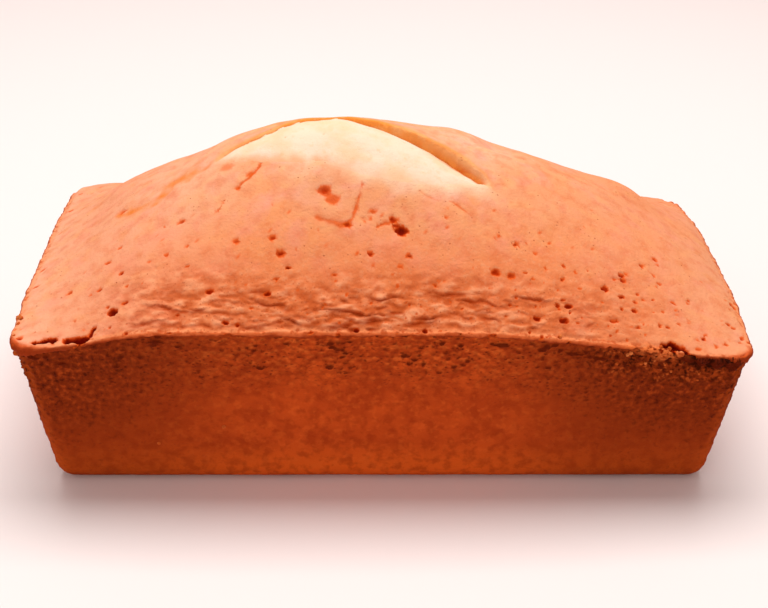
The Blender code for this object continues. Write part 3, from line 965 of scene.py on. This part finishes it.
# %% A material built up layer by layer
class Finish:
    """A material whose colour is built up layer by layer."""

    def __init__(self, name, base, roughness, shine=0.04):
        self.material = bpy.data.materials.new(name)
        self.material.use_nodes = True
        self.tree = self.material.node_tree
        self.shader = self.tree.nodes["Principled BSDF"]
        self.shader.inputs["Metallic"].default_value = 0
        self.shader.inputs["Specular IOR Level"].default_value = shine
        self.place = self.node("TexCoord").outputs["Object"]
        self.layer = self.node("RGB").outputs[0]
        self.layer.default_value = colour(*base)
        self.roughness = roughness

    def node(self, kind):
        return self.tree.nodes.new("ShaderNode" + kind)

    def link(self, output, socket):
        self.tree.links.new(output, socket)

    def texture(self, kind, size, stretch=(1, 1, 1)):
        """A texture on Object coordinates whose features are about that many millimetres."""
        scaled, texture = self.node("Mapping"), self.node(kind)
        scaled.inputs["Scale"].default_value = [1 / share for share in stretch]
        texture.inputs["Scale"].default_value = 1 / (size * MM)
        self.link(self.place, scaled.inputs["Vector"])
        self.link(scaled.outputs["Vector"], texture.inputs["Vector"])
        return texture

    def noise(self, size, detail=4):
        """Mottling from 0 to 1."""
        texture = self.texture("TexNoise", size)
        texture.inputs["Detail"].default_value = detail
        return texture.outputs["Fac"]

    def specks(self, spacing, width, stretch=(1, 1, 1)):
        """1 inside small round specks that sit that far apart, 0 between them."""
        away = self.texture("TexVoronoi", spacing, stretch).outputs["Distance"]
        return self.span(away, width / spacing, 0.3 * width / spacing)

    def painted(self, share):
        """Turns an attribute's name into its output, and leaves an output or a number as it is."""
        if not isinstance(share, str):
            return share
        node = self.node("Attribute")
        node.attribute_name = share
        return node.outputs["Fac"]

    def span(self, value, low, high, start=0, end=1):
        """Spreads low..high of a value over start..end."""
        node = self.node("MapRange")
        for socket, number in zip(node.inputs[1:5], (low, high, start, end)):
            socket.default_value = number
        self.link(self.painted(value), node.inputs[0])
        return node.outputs[0]

    def math(self, operation, *values):
        node = self.node("Math")
        node.operation = operation
        for socket, value in zip(node.inputs, map(self.painted, values)):
            if isinstance(value, (int, float)):
                socket.default_value = value
            else:
                self.link(value, socket)
        return node.outputs[0]

    def times(self, first, second):
        return self.painted(first) if second == 1 else self.math("MULTIPLY", first, second)

    def cover(self, tint, share, most=1):
        """Lays a tint over the colour so far, as strongly as share says at each point, times most."""
        node = self.node("Mix")
        node.data_type = "RGBA"
        self.link(self.times(share, most), node.inputs["Factor"])
        self.link(self.layer, node.inputs["A"])
        node.inputs["B"].default_value = colour(*tint)
        self.layer = node.outputs["Result"]

    def mottle(self, tint, size, detail, low, high, most=1, within=1):
        """Lays a tint over patches of about that size, where the noise passes from low to high."""
        self.cover(tint, self.times(self.span(self.noise(size, detail), low, high, 0, most), within))

    def done(self, grain, grain_depth):
        """Connects colour, roughness and a fine grain, and returns the material."""
        self.link(self.layer, self.shader.inputs["Base Color"])
        low, high = self.roughness
        self.link(self.span(grain, 0.35, 0.65, low, high), self.shader.inputs["Roughness"])
        bump = self.node("Bump")
        bump.inputs["Strength"].default_value = 1
        bump.inputs["Distance"].default_value = grain_depth * MM
        self.link(grain, bump.inputs["Height"])
        self.link(bump.outputs["Normal"], self.shader.inputs["Normal"])
        return self.material


# %% Finish of the top crust
def top_finish():
    look = Finish("golden_top_crust", (230, 160, 116), (0.75, 0.92))
    look.mottle((234, 154, 102), 22, 3, 0.42, 0.62)
    look.cover((236, 190, 158), "blush", 0.85)
    look.mottle((236, 166, 142), 9, 4, 0.48, 0.7, 0.8)
    look.mottle((238, 178, 120), 6, 4, 0.5, 0.72, 0.6)
    look.cover((226, 120, 68), "baked", 0.9)
    look.mottle((208, 98, 48), 4.4, 6, 0.46, 0.76, 0.5)
    look.cover((206, 98, 48), "folded", 0.35)
    look.mottle((228, 152, 108), 1.3, 5, 0.5, 0.72, 0.5)
    # painted shade in the valleys between the folds, and painted highlights on their ridges
    look.cover((184, 76, 26), "valley", 0.7)
    look.cover((248, 174, 128), "ridge", 0.55)
    look.cover((226, 124, 54), "stretched")
    look.cover((234, 210, 176), "pale")
    look.cover((240, 142, 54), "lip", 0.95)
    look.mottle((240, 172, 112), 6, 3, 0.48, 0.62, 0.7, within="lip")
    look.cover((218, 110, 16), "shade", 0.9)
    look.mottle((244, 166, 84), 5, 4, 0.48, 0.62, 0.6, within="shade")
    look.cover((238, 144, 92), "bead", 0.6)
    look.cover((218, 100, 48), "roll", 0.85)
    look.cover((208, 86, 38), "tip", 0.75)
    look.mottle((196, 84, 38), 1.8, 4, 0.5, 0.62, 0.8, within="bead")
    # painted shade on the underside of the bead, which turns down and away from the light
    look.cover((140, 44, 10), "under", 0.9)
    # painted shade along the creases, under the overhanging skin
    look.cover((166, 52, 2), "crease", 0.9)
    # tiny pores too fine to model, drawn as dark specks: painted shade
    pores = look.times(look.specks(2, 0.32), look.span(look.noise(6), 0.46, 0.62, 0, 0.75))
    crowded = look.times(look.specks(1.2, 0.28), look.times("folded", 0.6))
    look.cover((160, 52, 12), look.math("MAXIMUM", pores, crowded))
    look.cover((214, 84, 18), "crack", 0.85)
    look.cover((228, 118, 58), "torn", 0.8)
    look.mottle((132, 36, 2), 1.3, 3, 0.5, 0.4, within="torn")
    # painted shade inside pits, nicks and deep cracks, darker the deeper they go
    look.cover((222, 90, 24), look.span("hollow", 0, 0.2, 0, 0.85))
    look.cover((180, 50, 4), look.span("hollow", 0.18, 0.5))
    look.cover((124, 18, 0), look.span("hollow", 0.5, 0.95))
    grain = look.math("SUBTRACT", look.noise(0.9, 6), look.times(pores, 0.4))
    return look.done(grain, 0.3)


# %% Finish of the side crust
def side_finish():
    look = Finish("dark_side_crust", (192, 74, 24), (0.75, 0.92))
    look.mottle((162, 56, 17), 9, 4, 0.42, 0.62, 0.6)
    # painted bounce light from the floor, lighter towards the base
    look.cover((222, 94, 28), "lower", 0.85)
    look.mottle((148, 49, 12), 3.2, 5, 0.46, 0.62, 0.5)
    look.mottle((214, 94, 34), 2.2, 4, 0.52, 0.68, 0.4)
    # painted highlight on the raised grains and painted shade in the dips between them
    look.cover((222, 108, 44), "grain", 0.55)
    look.cover((118, 35, 10), "gap", 0.5)
    # darker towards the ends, most at the top: partly browner corners, partly painted shade
    look.cover((128, 44, 10), "ends", 0.85)
    look.cover((98, 31, 6), look.times("ends", "upper"), 0.5)
    upper = look.span("upper", 0.05, 0.6)
    grains = look.texture("TexVoronoi", 1.5, (1.3, 1.3, 0.9)).outputs["Distance"]
    between = look.span(grains, 0.4, 0.65)
    look.cover((112, 34, 8), look.times(between, upper), 0.3)
    # painted highlight along the rounded upright corners at the ends
    look.cover((198, 82, 22), "edge", 0.45)
    look.cover((132, 48, 12), "torn", 0.5)
    heaps = look.times("torn", look.span(look.noise(3.4, 2), 0.44, 0.6))
    look.mottle((192, 90, 36), 1.2, 3, 0.54, 0.68, within=heaps)
    look.cover((228, 118, 58), "spot", 0.8)
    look.mottle((66, 18, 2), 1.2, 3, 0.48, 0.38, within="torn")
    # tiny pores too fine to model, drawn as dark specks: painted shade
    crowd = look.times(look.span(look.noise(4), 0.35, 0.55), upper)
    pores = look.times(look.specks(1.3, 0.42, (1.4, 1.4, 0.8)), crowd)
    look.cover((100, 26, 6), pores, 0.8)
    high_ends = look.times("ends", look.span("upper", 0, 1, 0.45, 1))
    look.mottle((164, 64, 20), 1.6, 4, 0.52, 0.7, within=high_ends)
    look.mottle((78, 20, 3), 1.6, 4, 0.46, 0.3, within=high_ends)
    # painted shadow in the ragged gap under the front bead
    look.cover((48, 9, 0), "gash", 0.95)
    # painted shade inside the modelled pores, darker the deeper they go
    look.cover((92, 24, 4), look.span("hollow", 0.08, 0.7, 0, 0.9))
    grain = look.math("SUBTRACT", look.noise(0.8, 6), look.times(pores, 0.6))
    return look.done(grain, 0.3)


# %% Finishes of the crumb
def crumb_finish():
    look = Finish("pale_crumb", (233, 211, 184), (0.8, 0.95))
    look.mottle((232, 202, 164), 9, 3, 0.42, 0.62)
    look.mottle((228, 190, 142), 1.6, 4, 0.55, 0.75, 0.5)
    look.cover((234, 163, 118), "toast")
    look.cover((222, 130, 58), "shade", 0.8)
    # painted shade inside the crumb's pores
    look.cover((214, 150, 96), look.span("hollow", 0.2, 1, 0, 0.7))
    return look.done(look.noise(0.6, 6), 0.15)


def loose_finish():
    look = Finish("torn_crumbs", (186, 82, 30), (0.8, 0.95))
    look.mottle((222, 128, 68), 2.4, 3, 0.5, 0.65, 0.8)
    # painted shade in the dips of each lump
    look.cover((136, 46, 12), "hollow", 0.6)
    return look.done(look.noise(0.5, 5), 0.15)


# %% Dress the pieces, attach them to the root body and hide the solid
FINISHES = {
    top_crust: top_finish,
    side_crust: side_finish,
    split_crumb: crumb_finish,
    rim_crumbs: loose_finish,
}
for piece, make_finish in FINISHES.items():
    material = make_finish()
    piece.data.materials.append(material)
    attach(piece, "root")
    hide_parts("pound_cake")
    print(f"{piece.name} wears {material.name}, {len(material.node_tree.nodes)} nodes")

# %% [markdown]
# ## Studio
# A pale floor that curves up into a wall all round, a large softbox overhead and a little behind, and
# a weaker one by the camera. Large lights give the soft, nearly shadowless look of a bright kitchen.

# %% Floor
FLOOR_RADIUS, COVE_RADIUS, WALL_HEIGHT = 1.6, 0.5, 1.2  # metres
FLOOR_COLOUR, FLOOR_ROUGHNESS = (240, 227, 223), 0.6


def build_floor():
    bm = bmesh.new()
    bmesh.ops.create_circle(bm, cap_ends=True, segments=96, radius=FLOOR_RADIUS)
    steps = [(math.sin(a), 1 - math.cos(a)) for a in np.radians(np.arange(9, 91, 9))]
    profile = [(FLOOR_RADIUS + COVE_RADIUS * out, COVE_RADIUS * up) for out, up in steps]
    for radius, height in [*profile, (FLOOR_RADIUS + COVE_RADIUS, WALL_HEIGHT)]:
        for vert in extrude_edge(bm):
            flat = Vector(vert.co.xy).normalized() * radius
            vert.co = flat.x, flat.y, height
    floor = mesh_object("studio_floor", bm)
    floor.data.flip_normals()
    material = bpy.data.materials.new("floor_paint")
    material.use_nodes = True
    paint_inputs = material.node_tree.nodes["Principled BSDF"].inputs
    paint_inputs["Base Color"].default_value = colour(*FLOOR_COLOUR)
    paint_inputs["Roughness"].default_value = FLOOR_ROUGHNESS
    floor.data.materials.append(material)
    report(floor)


build_floor()


# %% Lights
LIT_POINT = Vector((0, 0, 0.05))


def softbox(name, place, size, power):
    """A large rectangular light, in metres and watts, that faces the middle of the cake."""
    data = bpy.data.lights.new(name, "AREA")
    data.shape = "RECTANGLE"
    data.size, data.size_y = size
    data.energy = power
    light = add(name, data)
    light.location = place
    light.rotation_euler = (LIT_POINT - Vector(place)).to_track_quat("-Z", "Y").to_euler()


softbox("overhead_softbox", (0, 0.25, 1.1), (1, 0.7), 13)
softbox("front_softbox", (-0.3, -1.3, 0.7), (1, 0.8), 4.5)
world = bpy.data.worlds.new("studio_air")
world.use_nodes = True
air = world.node_tree.nodes["Background"].inputs
air["Color"].default_value = colour(255, 247, 244)
air["Strength"].default_value = 0.42
scene.world = world
scene.view_settings.view_transform = "Standard"

# %% [markdown]
# ## Camera
# A short telephoto lens from the front, a little above the cake and a touch to the left. A long lens
# keeps the long edges nearly parallel, which is how a cake looks from across a table.

# %% Camera
CAMERA_PLACE = Vector((-11.26, -450.5, 254.5)) * MM
CAMERA_DOWN, CAMERA_RIGHT, CAMERA_ROLL = (math.radians(a) for a in (25.874, 1.566, 0.799))
LENS, SENSOR_WIDTH = 70.25, 36  # millimetres
camera_data = bpy.data.cameras.new("camera")
camera_data.lens, camera_data.sensor_width = LENS, SENSOR_WIDTH
camera = add("camera", camera_data)
turn = Matrix.Rotation(-CAMERA_RIGHT, 4, "Z") @ Matrix.Rotation(math.pi / 2 - CAMERA_DOWN, 4, "X")
camera.matrix_world = Matrix.Translation(CAMERA_PLACE) @ turn @ Matrix.Rotation(CAMERA_ROLL, 4, "Z")
scene.camera = camera
print("the camera is", np.round(CAMERA_PLACE.length, 2), "m from the middle of the base")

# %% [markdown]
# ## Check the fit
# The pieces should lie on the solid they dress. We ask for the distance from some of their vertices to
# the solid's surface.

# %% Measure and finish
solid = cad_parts["pound_cake"].data
tree = BVHTree.FromPolygons([v.co for v in solid.vertices], [p.vertices for p in solid.polygons])
for piece in (top_crust, side_crust):
    some = list(piece.data.vertices)[::40]
    gaps = [tree.find_nearest(vert.co)[3] / MM for vert in some]
    print(f"{piece.name}: half its points lie within {np.median(gaps):.2f} mm of the solid's surface")
bpy.context.view_layer.update()
